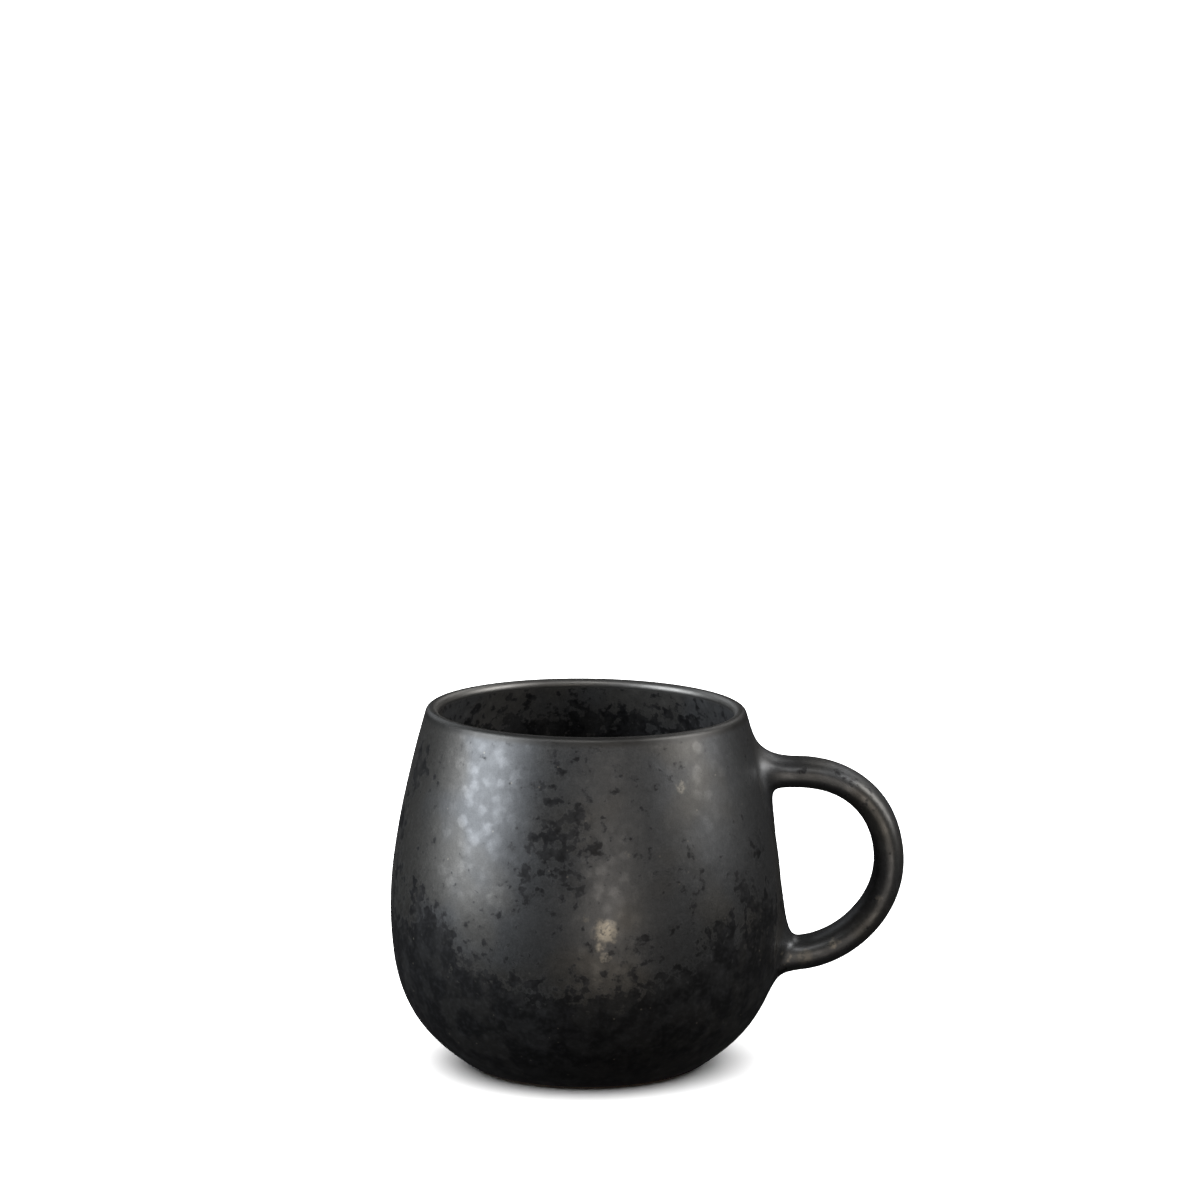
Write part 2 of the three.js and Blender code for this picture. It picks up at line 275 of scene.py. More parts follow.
def strap_ring(share, inset):
    """One ring of points round the strap; turn 0 is on the outside of the loop, a quarter is +Y."""
    point, along = centre_line(share)
    thickness = THICKNESS_TOP + (THICKNESS_END - THICKNESS_TOP) * share ** 3
    out = (thickness / 2 - inset) * softly_squared(np.cos(TURNS))
    across = (HANDLE_WIDTH / 2 - inset) * softly_squared(np.sin(TURNS))
    return np.stack([point[0] - along[1] * out, across, point[1] + along[0] * out], 1)


def meet_wall(points, heading, inset):
    """Where lines from points along a heading in the X-Z plane meet the cup's outside."""
    hits = points.copy()
    for _ in range(MEETING_STEPS):
        excess = np.hypot(hits[:, 0], hits[:, 1]) - wall_radius(hits[:, 2], inset)
        hits += heading * (excess / -heading[0])[:, None]
    return hits


def flare_rings(share, flare, inset, steps):
    """Rings from the wall to one end of the strap, which leave the wall along its own surface."""
    strap_end = strap_ring(share, inset)
    _, along = centre_line(share)
    outward = 1 if along[0] > 0 else -1
    heading = np.array([-outward * along[0], 0, -outward * along[1]])
    corner = meet_wall(strap_end, heading, inset)
    lift = outward * np.cos(TURNS)
    side = np.sin(TURNS)
    tall = np.where(lift > 0, flare["above"], flare["below"])
    spread = flare["beside"] + (tall - flare["beside"]) * lift ** 2 + inset
    rim = corner + np.stack([np.zeros_like(side), spread * side, spread * lift], 1)
    rim[:, 0] = np.sqrt(wall_radius(rim[:, 2], inset) ** 2 - rim[:, 1] ** 2)
    to_corner = corner - rim
    normal = wall_normal(rim)
    to_corner -= normal * np.sum(to_corner * normal, axis=1, keepdims=True)
    loop_side = np.maximum(-np.cos(TURNS), 0)[:, None]
    tightness = flare["outside"] + (flare["loop"] - flare["outside"]) * loop_side
    p1 = rim + to_corner * tightness + normal * loop_side * flare["lift"]
    p2 = strap_end + (corner - strap_end) * tightness
    return [
        (1 - t) ** 3 * rim + 3 * (1 - t) ** 2 * t * p1 + 3 * (1 - t) * t * t * p2 + t ** 3 * strap_end
        for t in np.linspace(0, 1, steps + 1)
    ]


def handle_rings(inset):
    """Rings of the whole handle, from the wall at its top to the wall at its lower end."""
    upper = flare_rings(STRAP_START, UPPER_FLARE, inset, FLARE_STEPS)
    lower = flare_rings(STRAP_END, LOWER_FLARE, inset, FLARE_STEPS)
    shares = np.linspace(STRAP_START, STRAP_END, STRAP_STEPS + 1)[1:-1]
    strap = [strap_ring(share, inset) for share in shares]
    return np.array(upper + strap + lower[::-1])


# ---- meshes ----------------------------------------------------------------------------------------

def handmade(points):
    """The pot's slight unevenness as a whole: its rim falls a little towards the handle."""
    share = np.clip((points[:, 2] - BELLY_HEIGHT) / (RIM_HEIGHT - BELLY_HEIGHT), 0, 1)
    moved = points.copy()
    moved[:, 2] -= RIM_TILT * points[:, 0] * share ** 2
    return moved


def undulation(point):
    """Height of the glaze's slow swells and small dimples at a point."""
    slow = noise.noise(Vector(point) / SWELL_LENGTH)
    fine = noise.noise(Vector(point) / DIMPLE_LENGTH)
    return SWELL * slow + DIMPLE * fine


def made_object(name, points, faces):
    """A smooth mesh object from points in millimetres about the cup's axis, faces turned outwards."""
    placed = handmade(points) * MM + np.array([CUP_X, 0, 0])
    mesh = bpy.data.meshes.new(name)
    mesh.from_pydata(placed.tolist(), [], faces)
    mesh.update()
    mesh.shade_smooth()
    mesh.set_sharp_from_angle(angle=math.radians(SHARP_ANGLE))
    made = bpy.data.objects.new(name, mesh)
    bpy.context.scene.collection.objects.link(made)
    return made


def grid_faces(rows, columns, closed_rows):
    """Quads of a grid that closes on itself across its columns and, if asked, across its rows."""
    faces = []
    for i in range(rows if closed_rows else rows - 1):
        here, there = i * columns, (i + 1) % rows * columns
        for j in range(columns):
            k = (j + 1) % columns
            faces.append((here + j, here + k, there + k, there + j))
    return faces


def turned(name, profile, relief=None):
    """A profile turned about the cup's axis. It closes on itself, or starts and ends on the axis."""
    angles = np.arange(ROUND_STEPS) / ROUND_STEPS * 2 * math.pi
    on_axis = profile[0][0] == 0
    rings = profile[1:-1] if on_axis else profile
    radius = np.repeat(rings[:, 0], ROUND_STEPS)
    around = np.tile(angles, len(rings))
    height = np.repeat(rings[:, 1], ROUND_STEPS)
    points = np.stack([radius * np.cos(around), radius * np.sin(around), height], 1)
    if relief is not None:
        points = relief(points)
    faces = grid_faces(len(rings), ROUND_STEPS, not on_axis)
    if on_axis:
        first, last = len(points), len(points) + 1
        points = np.vstack([points, [(0, 0, profile[0][1])], [(0, 0, profile[-1][1])]])
        end = (len(rings) - 1) * ROUND_STEPS
        for j in range(ROUND_STEPS):
            k = (j + 1) % ROUND_STEPS
            faces.append((first, k, j))
            faces.append((last, end + j, end + k))
    return made_object(name, points, faces)


def lofted(name, rings, closed_rows=False):
    """A tube through rings of points. Without closed rows, a fan closes each of its ends."""
    rows, columns, _ = rings.shape
    points = rings.reshape(-1, 3)
    faces = grid_faces(rows, columns, closed_rows)
    if not closed_rows:
        first, last = len(points), len(points) + 1
        points = np.vstack([points, rings[0].mean(0)[None], rings[-1].mean(0)[None]])
        end = (rows - 1) * columns
        for j in range(columns):
            k = (j + 1) % columns
            faces.append((first, k, j))
            faces.append((last, end + j, end + k))
    return made_object(name, points, [face[::-1] for face in faces])


def grid_normals(rings):
    """Outward directions of a tube's points, from their neighbours."""
    along = np.gradient(rings, axis=0)
    around = np.roll(rings, -1, axis=1) - np.roll(rings, 1, axis=1)
    normal = np.cross(around, along)
    return normal / np.linalg.norm(normal, axis=2, keepdims=True)


# ---- the pieces ------------------------------------------------------------------------------------

def glazed_relief(shown_rings):
    """A relief that puts swells on the first rings of a turned skin, the side that shows."""
    def relief(points):
        shown = points[: shown_rings * ROUND_STEPS]
        normal = np.stack([shown[:, 0], shown[:, 1], np.zeros(len(shown))], 1)
        normal /= np.linalg.norm(normal, axis=1, keepdims=True)
        heights = np.array([undulation(p) for p in shown])
        fade = np.clip((RIM_HEIGHT - SMOOTH_RIM - shown[:, 2]) / SWELL_FADE, 0, 1)
        points[: len(shown)] += normal * (heights * fade)[:, None]
        return points
    return relief


def make_cup_clay():
    ring_outer = FOOT_RADIUS - GLAZE / math.sin(math.radians(FOOT_SLOPE))
    wall = moved_out(*outside(0), -GLAZE)
    edge = RING_ROUNDING
    inset = edge * ROUNDING_INSET
    inner_edge = [(RECESS_RADIUS, edge), (RING_INNER_RADIUS - edge, inset), (RING_INNER_RADIUS, 0)]
    outer_edge = [(ring_outer - edge, 0), (ring_outer - inset, edge * ROUNDING_LIFT)]
    profile = np.vstack([recess(-GLAZE), inner_edge, outer_edge, wall, inside(GLAZE)[1:]])
    return turned("cup_clay", profile)


def make_outer_glaze():
    points, along = outside(BARE_FOOT)
    roll = np.clip(np.linspace(0, 1, CURVE_STEPS + 1) / GLAZE_ROLL, 0, 1)
    thickness = np.ones(len(points)) * GLAZE
    thickness[: CURVE_STEPS + 1] *= np.sqrt(1 - (1 - roll) ** 2) * (1 - ROLL_START) + ROLL_START
    shown = moved_out(points, along, thickness - GLAZE)
    hidden = moved_out(points, along, -GLAZE)[::-1]
    return turned("outer_glaze_coat", np.vstack([shown, hidden]), glazed_relief(len(shown)))


def make_inner_glaze():
    return turned("liner_glaze_coat", np.vstack([inside(GLAZE)[::-1], inside(0)]))


def make_foot_glaze():
    return turned("foot_recess_glaze", np.vstack([recess(0), recess(-GLAZE)[::-1]]))


def make_handle_glaze():
    shown = handle_rings(0)
    normal = grid_normals(shown)
    heights = np.array([[undulation(p) for p in ring] for ring in shown])
    shown = shown + normal * heights[:, :, None]
    return lofted("handle_glaze_coat", np.vstack([shown, handle_rings(GLAZE)[::-1]]), closed_rows=True)


# ---- materials -------------------------------------------------------------------------------------

class Nodes:
    """Short names for a material's nodes. Every pattern is worked out in object space, in millimetres."""

    def __init__(self, name):
        self.material = bpy.data.materials.new(name)
        self.material.use_nodes = True
        self.tree = self.material.node_tree
        self.tree.nodes.clear()
        self.output = self.tree.nodes.new("ShaderNodeOutputMaterial")
        coordinates = self.tree.nodes.new("ShaderNodeTexCoord")
        moved = self.tree.nodes.new("ShaderNodeVectorMath")
        moved.operation = "SUBTRACT"
        moved.inputs[1].default_value = (CUP_X, 0, 0)
        scaled = self.tree.nodes.new("ShaderNodeVectorMath")
        scaled.operation = "SCALE"
        scaled.inputs["Scale"].default_value = 1 / MM
        self.link(coordinates.outputs["Object"], moved.inputs[0])
        self.link(moved.outputs[0], scaled.inputs[0])
        self.place = scaled.outputs[0]

    def link(self, source, target):
        self.tree.links.new(source, target)

    def give(self, socket, value):
        if isinstance(value, bpy.types.NodeSocket):
            self.link(value, socket)
        else:
            socket.default_value = value

    def noise(self, size, detail=2.0, roughness=0.5, distortion=0.0, shift=(0, 0, 0)):
        """Noise between about 0.25 and 0.75 whose features are about size millimetres across."""
        moved = self.tree.nodes.new("ShaderNodeMapping")
        moved.inputs["Location"].default_value = shift
        self.link(self.place, moved.inputs["Vector"])
        made = self.tree.nodes.new("ShaderNodeTexNoise")
        made.inputs["Scale"].default_value = 1 / size
        made.inputs["Detail"].default_value = detail
        made.inputs["Roughness"].default_value = roughness
        made.inputs["Distortion"].default_value = distortion
        self.link(moved.outputs["Vector"], made.inputs["Vector"])
        return made.outputs["Fac"]

    def cells(self, size, shift=(0, 0, 0), place=None, smooth=0.0):
        """Distance to the nearest of many scattered points, and a random number for each point."""
        moved = self.tree.nodes.new("ShaderNodeMapping")
        moved.inputs["Location"].default_value = shift
        self.link(place or self.place, moved.inputs["Vector"])
        made = self.tree.nodes.new("ShaderNodeTexVoronoi")
        if smooth:
            made.feature = "SMOOTH_F1"
            made.inputs["Smoothness"].default_value = smooth
        made.inputs["Scale"].default_value = 1 / size
        self.link(moved.outputs["Vector"], made.inputs["Vector"])
        split = self.tree.nodes.new("ShaderNodeSeparateColor")
        self.link(made.outputs["Color"], split.inputs[0])
        return made.outputs["Distance"], split.outputs[0]

    def stirred(self, size, amount):
        """The place, pushed by noise of a size, by a quarter to three quarters of an amount."""
        made = self.tree.nodes.new("ShaderNodeTexNoise")
        made.inputs["Scale"].default_value = 1 / size
        made.inputs["Detail"].default_value = 2
        self.link(self.place, made.inputs["Vector"])
        pushed = self.tree.nodes.new("ShaderNodeVectorMath")
        pushed.operation = "MULTIPLY_ADD"
        pushed.inputs[1].default_value = (amount,) * 3
        self.link(made.outputs["Color"], pushed.inputs[0])
        self.link(self.place, pushed.inputs[2])
        return pushed.outputs[0]

    def near(self, centre, place):
        """Distance in millimetres from a point."""
        made = self.tree.nodes.new("ShaderNodeVectorMath")
        made.operation = "DISTANCE"
        self.link(place, made.inputs[0])
        made.inputs[1].default_value = centre
        return made.outputs["Value"]

    def near_line(self, centre, axes):
        """Distance from a line through a point, which runs along the axis whose share in axes is 0."""
        flat = self.tree.nodes.new("ShaderNodeVectorMath")
        flat.operation = "MULTIPLY"
        flat.inputs[1].default_value = axes
        self.link(self.place, flat.inputs[0])
        return self.near(centre, flat.outputs[0])

    def axes(self):
        """Distances across towards the handle, back from the front, and up."""
        split = self.tree.nodes.new("ShaderNodeSeparateXYZ")
        self.link(self.place, split.inputs[0])
        return split.outputs[0], split.outputs[1], split.outputs[2]

    def math(self, operation, *values):
        made = self.tree.nodes.new("ShaderNodeMath")
        made.operation = operation
        for socket, value in zip(made.inputs, values):
            self.give(socket, value)
        return made.outputs[0]

    def total(self, *values):
        """The sum of any number of values."""
        added = values[0]
        for value in values[1:]:
            added = self.math("ADD", added, value)
        return added

    def scale(self, value, factor):
        return self.math("MULTIPLY", value, factor)

    def centred(self, value):
        """Noise moved from round a half to round zero."""
        return self.math("SUBTRACT", value, 0.5)

    def ramp(self, value, low, high, start=0.0, end=1.0):
        """A value's range from low to high, smoothed into the range from start to end."""
        made = self.tree.nodes.new("ShaderNodeMapRange")
        made.interpolation_type = "SMOOTHSTEP"
        for socket, number in zip(made.inputs, (value, low, high, start, end)):
            self.give(socket, number)
        return made.outputs[0]

    def mix(self, share, first, second):
        """The first colour, with a share of it replaced by the second."""
        made = self.tree.nodes.new("ShaderNodeMix")
        made.data_type = "RGBA"
        self.give(made.inputs[0], share)
        self.give(made.inputs[6], first if isinstance(first, bpy.types.NodeSocket) else (*first, 1))
        self.give(made.inputs[7], second if isinstance(second, bpy.types.NodeSocket) else (*second, 1))
        return made.outputs[2]

    def scaled(self, colour, value):
        """A colour made darker or lighter."""
        made = self.tree.nodes.new("ShaderNodeVectorMath")
        made.operation = "SCALE"
        self.give(made.inputs[0], colour)
        self.give(made.inputs["Scale"], value)
        return made.outputs[0]

    def bump(self, height, strength, distance, normal=None):
        made = self.tree.nodes.new("ShaderNodeBump")
        made.inputs["Strength"].default_value = strength
        made.inputs["Distance"].default_value = distance * MM
        self.give(made.inputs["Height"], height)
        if normal is not None:
            self.give(made.inputs["Normal"], normal)
        return made.outputs[0]

    def shade(self, **sockets):
        """The finished material, from the values of the Principled shader's sockets."""
        shader = self.tree.nodes.new("ShaderNodeBsdfPrincipled")
        for name, value in sockets.items():
            self.give(shader.inputs[name.replace("_", " ")], value)
        self.link(shader.outputs[0], self.output.inputs["Surface"])
        return self.material


# Reactive glaze, linear colours.
METAL_COOL = (0.167, 0.169, 0.173)
METAL_WARM = (0.171, 0.165, 0.156)
IRON_AND_SHADE_BLACK = (0.012, 0.012, 0.013)
LIP_METAL = (0.115, 0.112, 0.108)
LIP_INNER_PAINTED_SHEEN = (0.270, 0.262, 0.250)
GLINT_AND_SPECK = (0.66, 0.60, 0.50)
GLAZE_ROUGHNESS = 0.42

# Sizes of the glaze's patterns in millimetres, from its widest tint to its grain.
TINT_SIZE = 24
BROAD_SIZE = 12
CLOUD_SIZE = 5.5
PEBBLE_SIZE = 3.3
BLOT_SIZE = 2.6
PATCH_SIZE = 2.5
SPECK_SPACING = 2.2
SMALL_SIZE = 1.2
GRAIN_SIZE = 0.36

# Upper edge of the black round the foot, which is partly thicker glaze and partly painted shade: its
# height at the front and the back, its rise to the cup's two sides and the power of that rise. Past the
# wall, over HANDLE_REACH, it drops away.
FOOT_LINE = 22.0
FOOT_LINE_RISE = 15.0
FOOT_LINE_POWER = 1.3
HANDLE_REACH = (48.3, 52)
HANDLE_DROP = 70

# Painted shade: the inner side of the handle's loop is coloured black. Listed are the loop's middle, the
# distances from it at which the painted shade starts and is full, and the distances across between which
# it fades in past the wall.
LOOP_MIDDLE = (55.5, 0, 49.5)
LOOP_SHADE_REACH = (19.5, 15.5)
LOOP_ACROSS = (48.5, 50)

# The lip's own glaze: depths below the rim at which it ends and is full, and half the width of its
# change of colour across the lip, to a lighter inner side that is painted light.
LIP_BAND = (2.6, 1.2)
LIP_CHANGE = 1

# Depths inside the cup at which painted shade starts to darken its glaze and is darkest.
DARK_DEPTHS = (3, 14)

# Painted glints: pale patches on the cup's wall that stand for highlights; degrees from the front towards
# the handle, height, radius and strength.
WALL_GLINTS = (
    (7.5, 45.2, 4.0, 0.90),
    (6.0, 41.4, 2.3, 0.90),
    (7.4, 38.8, 2.2, 0.90),
    (5.8, 33.2, 1.6, 0.40),
    (2.2, 48.4, 1.6, 0.35),
    (14.9, 63.2, 1.1, 0.50),
    (34.9, 77.4, 1.8, 0.35),
    (-32.0, 79.5, 1.4, 0.45),
)

# The same painted glints on the handle, by place.
HANDLE_GLINTS = (
    ((72.8, -5.8, 43.6), 1.7, 0.40),
    ((62.0, -5.0, 32.4), 1.8, 0.45),
    ((50.3, -6.4, 30.3), 1.6, 1.0),
    ((51.6, -6.4, 28.3), 1.8, 1.0),
    ((55.0, -6.0, 28.6), 3.0, 0.32),
)

# Where iron gathers (positive) or stays away (negative), and in the first, broad entry painted shade too:
# degrees from the front towards the handle, height, radius and amount.
IRON_AND_SHADE_DRIFTS = (
    # Partly painted shade: darkens the front between the two highlights.
    (-9, 64.0, 24, 0.17),
    (-60, 60.0, 30, 0.05),
    (-8, 82.5, 7, 0.16),
    (-10, 72.0, 8, 0.17),
    (-14, 68.0, 7, 0.15),
    (-9, 64.5, 7, 0.24),
    (-6, 59.5, 6, 0.27),
    (-2, 69.5, 5, 0.24),
    (2, 63.0, 4, 0.32),
    (-2, 53.5, 6, 0.26),
    (-16, 55.0, 7, 0.22),
    (-22, 50.0, 9, 0.20),
    (-73, 76.0, 10, 0.55),
    (-79, 61.0, 10, 0.50),
    (-77, 49.0, 9, 0.40),
    (-60, 46.0, 8, 0.26),
    (-50, 40.0, 11, 0.42),
    (64, 57.0, 7, 0.36),
    (53, 49.5, 7, 0.38),
    (62, 43.5, 9, 0.40),
    (42, 40.0, 9, 0.40),
    (20, 40.5, 7, 0.18),
    (108, 66.0, 14, 0.26),
    (140, 52.0, 15, 0.26),
    (165, 74.0, 10, 0.24),
    (-172, 58.0, 12, 0.28),
    (-148, 70.0, 12, 0.26),
    (-122, 50.0, 16, 0.28),
    (-36, 69.0, 20, -0.30),
    (40, 73.0, 17, -0.24),
    (82, 30.0, 13, -1.15),
)

# Bare clay.
CLAY_SPECK = (0.035, 0.025, 0.02)
CLAY_MOTTLE_SIZE = 3.5
CLAY_SPECK_SPACING = 1.1
GRIT_SIZE = 0.3


def on_wall(turn, height):
    """A place on the cup's outside, by degrees from the front towards the handle and by height."""
    radius, angle = float(wall_radius(height)), math.radians(turn)
    return radius * math.sin(angle), -radius * math.cos(angle), height


def iron_and_shade(n, iron, depth_shade, across, height):
    """How black the glaze gets: iron by place, painted shade by depth inside the cup, and both by nearness
    to the foot.
    """
    broad = n.centred(n.noise(BROAD_SIZE, 1.5, 0.5, shift=(3, 7, 1)))
    # Painted shade: the glaze darkens deep inside the cup.
    dark_from, dark_to = RIM_HEIGHT - DARK_DEPTHS[0], RIM_HEIGHT - DARK_DEPTHS[1]
    blackening = n.total(iron, n.scale(broad, 0.45), n.ramp(height, dark_from, dark_to, 0, depth_shade))
    for turn, level, radius, amount in IRON_AND_SHADE_DRIFTS:
        distance = n.near(on_wall(turn, level), n.place)
        blackening = n.total(blackening, n.ramp(distance, radius, 0, 0, amount))
    # The black round the foot: partly thicker glaze, partly painted shade; it rises to the cup's two
    # sides.
    side = n.math("POWER", n.math("ABSOLUTE", n.math("DIVIDE", across, BELLY_RADIUS)), FOOT_LINE_POWER)
    rise = n.scale(n.math("MINIMUM", side, 1.0), FOOT_LINE_RISE)
    foot_line = n.total(rise, n.ramp(across, *HANDLE_REACH, 0, -HANDLE_DROP), FOOT_LINE)
    above_foot = n.math("SUBTRACT", height, foot_line)
    return n.total(blackening, n.ramp(above_foot, 24, 3, 0, 0.10), n.ramp(above_foot, 12, -9, 0, 0.85))


def blots_and_shade_cover(n, blackening, small, across):
    """Shares of solid black, and of black with its haze: ragged blots that grow until they meet, and
    painted shade on the inner side of the handle's loop.
    """
    patch = n.centred(n.noise(PATCH_SIZE, 3.5, 0.55, 0.1, shift=(11, 2, 5)))
    reach, _ = n.cells(BLOT_SIZE, shift=(8, 3, 7), place=n.stirred(1.4, 2.0), smooth=0.6)
    ragged = n.total(n.scale(patch, 1.5), n.scale(reach, -0.30), n.scale(n.centred(small), 0.6))
    cloud = n.ramp(n.noise(CLOUD_SIZE, 3, 0.55, shift=(6, 6, 2)), 0.42, 0.62, 1.0, 0.85)
    core = n.math("MULTIPLY", n.ramp(n.total(blackening, ragged), -0.02, 0.27, 0, 0.99), cloud)
    # Painted shade: the inner side of the handle's loop is coloured black.
    loop_shade = n.ramp(n.near_line(LOOP_MIDDLE, (1, 0, 1)), *LOOP_SHADE_REACH, 0, 0.97)
    core = n.math("MAXIMUM", core, n.math("MULTIPLY", loop_shade, n.ramp(across, *LOOP_ACROSS)))
    haze = n.ramp(n.total(blackening, patch), -0.02, 0.46, 0, 0.42)
    return core, n.math("MAXIMUM", haze, core)


def lip_cover(n, across, height):
    """Share of the lip's thin, even glaze, and its colour, with a painted highlight that makes it lighter
    where the lip turns inwards.
    """
    level = n.total(height, n.scale(across, RIM_TILT))
    share = n.ramp(level, RIM_HEIGHT - LIP_BAND[0], RIM_HEIGHT - LIP_BAND[1])
    from_axis = n.near_line((0, 0, 0), (1, 1, 0))
    # Painted light: the lip's inner side is coloured lighter.
    inwards = n.ramp(from_axis, LIP_CENTRE[0] + LIP_CHANGE, LIP_CENTRE[0] - LIP_CHANGE)
    return share, n.mix(inwards, LIP_METAL, LIP_INNER_PAINTED_SHEEN)


def glint_and_speck_cover(n, small):
    """Share of painted glints, the placed patches with ragged edges, and of fine pale specks all over."""
    # Painted glints, placed where highlights fall.
    ragged = n.stirred(1.6, 3.0)
    patches = [(on_wall(turn, level), radius, strength) for turn, level, radius, strength in WALL_GLINTS]
    glint = 0.0
    for centre, radius, strength in (*patches, *HANDLE_GLINTS):
        spot = n.ramp(n.near(centre, ragged), radius, radius * 0.3, 0, strength)
        glint = n.math("MAXIMUM", glint, spot)
    glint = n.math("MULTIPLY", glint, n.ramp(small, 0.36, 0.52, 0.25, 1))
    distance, chance = n.cells(SPECK_SPACING, shift=(2, 4, 6))
    speck = n.math("MULTIPLY", n.ramp(distance, 0.16, 0.05), n.ramp(chance, 0.86, 0.90, 0, 0.22))
    return n.math("MAXIMUM", glint, speck)


def reactive_glaze(name, iron, metal, tone, depth_shade=0.0):
    """Satin metallic glaze with black iron blots that run together towards the foot, where the black is
    partly painted shade;
    painted shade also darkens it deep inside the cup and on the inner side of the handle's loop.

    iron is how much there is everywhere, and depth_shade how much painted shade darkens it deep inside the
    cup;
    metal is how metallic the open glaze is, and tone its brightness.
    """
    n = Nodes(name)
    across, _, height = n.axes()
    small = n.noise(SMALL_SIZE, 2.5, 0.55, 0.1, shift=(4, 8, 2))
    grain = n.noise(GRAIN_SIZE, 2, 0.6)
    # Pebbles: soft rounded cells of uneven brightness.
    reach, chance = n.cells(PEBBLE_SIZE, shift=(5, 1, 9), place=n.stirred(2.0, 2.4), smooth=0.7)
    pebble = n.math("MULTIPLY", n.ramp(reach, 0.72, 0.12), n.ramp(chance, 0, 1, 0.35, 1.0))
    blackening = iron_and_shade(n, iron, depth_shade, across, height)
    core, blotch = blots_and_shade_cover(n, blackening, small, across)
    lip_share, lip_colour = lip_cover(n, across, height)
    # Colour: metal of two tints, mottled, then iron blots and painted shade, the lip with its painted
    # lighter inner side, and painted glints and fine specks over it.
    tint = n.ramp(n.noise(TINT_SIZE, 2, 0.5, shift=(1, 1, 8)), 0.42, 0.6)
    mottle = n.math("MULTIPLY", n.ramp(pebble, 0, 0.9, 0.92, 1.18), n.ramp(small, 0.3, 0.7, 0.95, 1.05))
    mottle = n.math("MULTIPLY", mottle, n.ramp(grain, 0.3, 0.7, 0.93, 1.07))
    colour = n.scaled(n.mix(tint, METAL_COOL, METAL_WARM), n.scale(mottle, tone))
    black_tone = n.total(n.ramp(small, 0.44, 0.70, 0.80, 2.0), n.ramp(pebble, 0.3, 0.9, 0, 0.9))
    colour = n.mix(blotch, colour, n.scaled(IRON_AND_SHADE_BLACK, black_tone))
    colour = n.mix(lip_share, colour, lip_colour)
    colour = n.mix(glint_and_speck_cover(n, small), colour, GLINT_AND_SPECK)
    # Solid black is glassy rather than metallic, except under the lip's own glaze.
    glassy = n.math("MULTIPLY", core, n.math("SUBTRACT", 1.0, lip_share))
    metallic = n.scale(n.math("SUBTRACT", 1.0, n.scale(glassy, 0.85)), metal)
    smoothed = n.ramp(pebble, 0, 0.9, GLAZE_ROUGHNESS + 0.02, GLAZE_ROUGHNESS - 0.03)
    roughness = n.total(smoothed, n.ramp(grain, 0.3, 0.7, -0.02, 0.02))
    surface = n.bump(n.total(n.scale(pebble, 0.8), small), 0.30, 0.06)
    surface = n.bump(grain, 0.20, 0.02, surface)
    return n.shade(Base_Color=colour, Metallic=metallic, Roughness=roughness, Normal=surface)


def bare_clay(name, light, dark):
    """Fired stoneware: sandy, speckled with iron, quite matte."""
    n = Nodes(name)
    colour = n.mix(n.ramp(n.noise(CLAY_MOTTLE_SIZE, 6, 0.7), 0.35, 0.65), dark, light)
    distance, chance = n.cells(CLAY_SPECK_SPACING)
    speck = n.math("MULTIPLY", n.ramp(distance, 0.22, 0.12), n.ramp(chance, 0.70, 0.72))
    colour = n.mix(speck, colour, CLAY_SPECK)
    grit = n.noise(GRIT_SIZE, 4, 0.7)
    roughness = n.ramp(grit, 0.3, 0.7, 0.78, 0.94)
    surface = n.bump(grit, 0.5, 0.06)
    return n.shade(Base_Color=colour, Roughness=roughness, Normal=surface)


materials = {
    "reactive_glaze": reactive_glaze("reactive_glaze", iron=0.0, metal=0.9, tone=1.0),
    "liner_glaze": reactive_glaze("liner_glaze", iron=0.17, metal=0.62, tone=1.05, depth_shade=0.30),
    "stoneware": bare_clay("stoneware", light=(0.26, 0.20, 0.145), dark=(0.15, 0.108, 0.075)),
    "slip": bare_clay("slip", light=(0.31, 0.245, 0.18), dark=(0.20, 0.15, 0.105)),
}


# ---- assembly --------------------------------------------------------------------------------------

def stand_for(piece, node, slot):
    """A piece that rides the mug's body and replaces one CAD node."""
    piece.data.materials.append(materials[slot])
    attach(piece, "root")
    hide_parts(node)
    return piece


clay_rings = handle_rings(GLAZE)
slip_rows = round(FLARE_STEPS * SLIP_SHARE)
mug_pieces = [
    stand_for(make_cup_clay(), "cup_body", "stoneware"),
    stand_for(make_outer_glaze(), "outer_glaze", "reactive_glaze"),
    stand_for(make_inner_glaze(), "inner_glaze", "liner_glaze"),
    stand_for(make_foot_glaze(), "foot_glaze", "liner_glaze"),
    stand_for(make_handle_glaze(), "handle_glaze", "reactive_glaze"),
    stand_for(lofted("handle_clay", clay_rings[slip_rows:-slip_rows]), "handle", "stoneware"),
    stand_for(lofted("upper_slip", clay_rings[: slip_rows + 1]), "upper_slip_joint", "slip"),
    stand_for(lofted("lower_slip", clay_rings[-slip_rows - 1 :]), "lower_slip_joint", "slip"),
]

# ---- stage, light and camera -----------------------------------------------------------------------

# Metres and degrees, and millimetres for the lens and its sensor.
CAMERA_DISTANCE = 1.2
CAMERA_HEIGHT = 0.3216
CAMERA_ASIDE = 0.00337
CAMERA_PITCH = 9.776
CAMERA_LENS = 150.37
SENSOR_WIDTH = 36
CLIP_RANGE = (0.05, 200)
FLOOR_SIZE = 60.0
FLOOR_COLOUR = (0.9, 0.9, 0.9, 1)
FLOOR_LIGHT = 3.3
SKY_ANGLE = 114
FILL = (0.021, 0.021, 0.0215, 1)
BACKDROP = (1, 1, 1, 1)
MUG_MIDDLE = Vector((CUP_X, 0, 0.045))

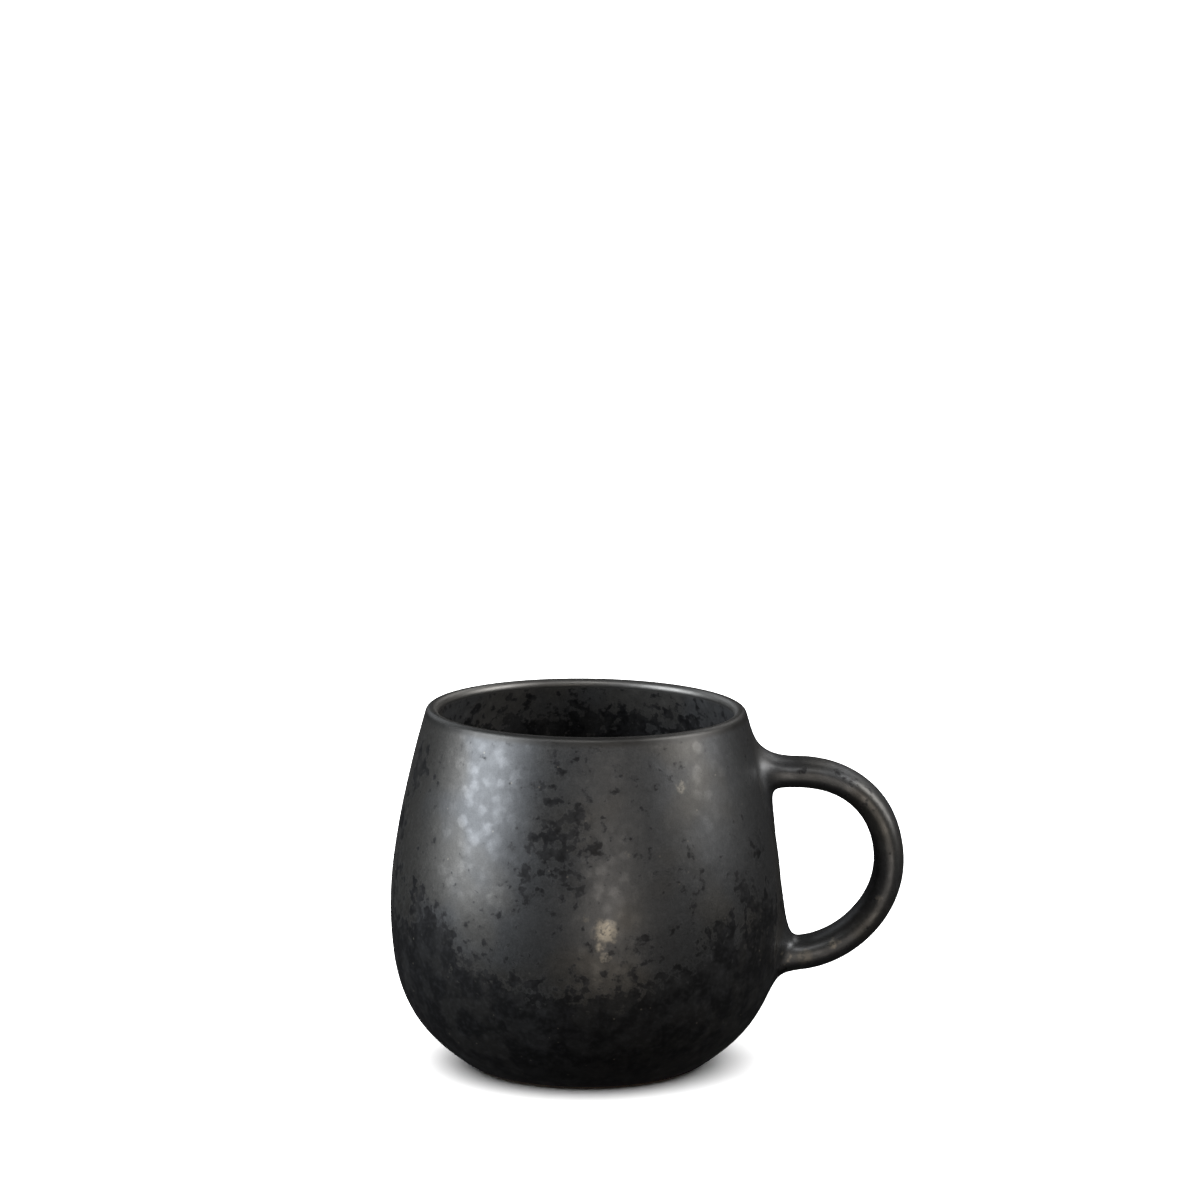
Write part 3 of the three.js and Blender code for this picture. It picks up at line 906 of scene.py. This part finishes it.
# Area lights: name, degrees round from the camera's side towards the handle, degrees up, distance from
# the mug's middle, width, height, colour and watts.
COOL, NEUTRAL, WARM = (0.90, 0.95, 1.0), (0.98, 0.98, 0.97), (1.0, 0.92, 0.83)
SOFTBOXES = (
    ("key_left", -72, 24, 0.9, 0.56, 0.75, COOL, 6.7),
    ("fill_right", 81, 33, 0.9, 0.50, 0.60, NEUTRAL, 3.7),
    ("front", 13, -3, 1.0, 0.34, 0.74, WARM, 0.80),
    ("low_front", 12, -2, 1.0, 0.08, 0.10, WARM, 0.20),
    ("above_front", -4, 54, 1.0, 0.55, 0.40, NEUTRAL, 1.15),
    ("behind_left", -146, 30, 1.1, 0.60, 0.60, COOL, 0.9),
    ("behind_right", 146, 38, 1.1, 0.50, 0.50, NEUTRAL, 0.9),
)


def collected(name, objects):
    """A collection that only groups objects for light linking."""
    made = bpy.data.collections.new(name)
    for member in objects:
        made.objects.link(member)
    return made


def make_floor():
    """A plain pale floor that takes the mug's shadow but neither lights the mug nor shows in it."""
    half = FLOOR_SIZE / 2
    mesh = bpy.data.meshes.new("floor")
    corners = [(-half, -half, 0), (half, -half, 0), (half, half, 0), (-half, half, 0)]
    mesh.from_pydata(corners, [], [(0, 1, 2, 3)])
    floor = bpy.data.objects.new("floor", mesh)
    bpy.context.scene.collection.objects.link(floor)
    material = bpy.data.materials.new("floor")
    material.use_nodes = True
    shader = material.node_tree.nodes["Principled BSDF"]
    shader.inputs["Base Color"].default_value = FLOOR_COLOUR
    shader.inputs["Roughness"].default_value = 1
    shader.inputs["Specular IOR Level"].default_value = 0
    floor.data.materials.append(material)
    floor.visible_diffuse = False
    floor.visible_glossy = False
    floor.visible_shadow = False
    return floor


def softbox(name, azimuth, elevation, distance, width, height, colour, watts, lit):
    """An area light that faces the mug and lights only the collection lit."""
    data = bpy.data.lights.new(name, "AREA")
    data.shape = "RECTANGLE"
    data.size, data.size_y = width, height
    data.color = colour
    data.energy = watts
    made = bpy.data.objects.new(name, data)
    turn, rise = math.radians(azimuth), math.radians(elevation)
    back = Vector((math.sin(turn) * math.cos(rise), -math.cos(turn) * math.cos(rise), math.sin(rise)))
    made.location = MUG_MIDDLE + back * distance
    made.rotation_mode = "QUATERNION"
    made.rotation_quaternion = back.to_track_quat("Z", "Y")
    made.light_linking.receiver_collection = lit
    made.visible_camera = False
    bpy.context.scene.collection.objects.link(made)


def open_sky(name, strength, lit):
    """Light from the whole sky above, for the floor's soft contact shadow."""
    data = bpy.data.lights.new(name, "SUN")
    data.energy = strength * math.pi
    data.angle = math.radians(SKY_ANGLE)
    made = bpy.data.objects.new(name, data)
    made.light_linking.receiver_collection = lit
    bpy.context.scene.collection.objects.link(made)


def make_world():
    """White behind everything for the camera, and a faint grey fill for the mug."""
    world = bpy.data.worlds.new("studio")
    bpy.context.scene.world = world
    world.use_nodes = True
    tree = world.node_tree
    tree.nodes.clear()
    output = tree.nodes.new("ShaderNodeOutputWorld")
    mixed = tree.nodes.new("ShaderNodeMixShader")
    kind = tree.nodes.new("ShaderNodeLightPath")
    shades = []
    for colour in (FILL, BACKDROP):
        shade = tree.nodes.new("ShaderNodeBackground")
        shade.inputs[0].default_value = colour
        shades.append(shade)
    tree.links.new(kind.outputs["Is Camera Ray"], mixed.inputs[0])
    tree.links.new(shades[0].outputs[0], mixed.inputs[1])
    tree.links.new(shades[1].outputs[0], mixed.inputs[2])
    tree.links.new(mixed.outputs[0], output.inputs["Surface"])


def make_camera():
    """The photo's view, fitted to the mug's outline."""
    data = bpy.data.cameras.new("camera")
    data.lens = CAMERA_LENS
    data.sensor_width = SENSOR_WIDTH
    data.clip_start, data.clip_end = CLIP_RANGE
    camera = bpy.data.objects.new("camera", data)
    camera.location = (CUP_X + CAMERA_ASIDE, -CAMERA_DISTANCE, CAMERA_HEIGHT)
    camera.rotation_euler = (math.radians(90 - CAMERA_PITCH), 0, 0)
    bpy.context.scene.collection.objects.link(camera)
    bpy.context.scene.camera = camera


floor = make_floor()
on_mug = collected("lit_mug", mug_pieces)
on_floor = collected("lit_floor", [floor])
for settings in SOFTBOXES:
    softbox(*settings, on_mug)
open_sky("over_floor", FLOOR_LIGHT, on_floor)
make_world()
make_camera()
bpy.context.scene.view_settings.view_transform = "Standard"
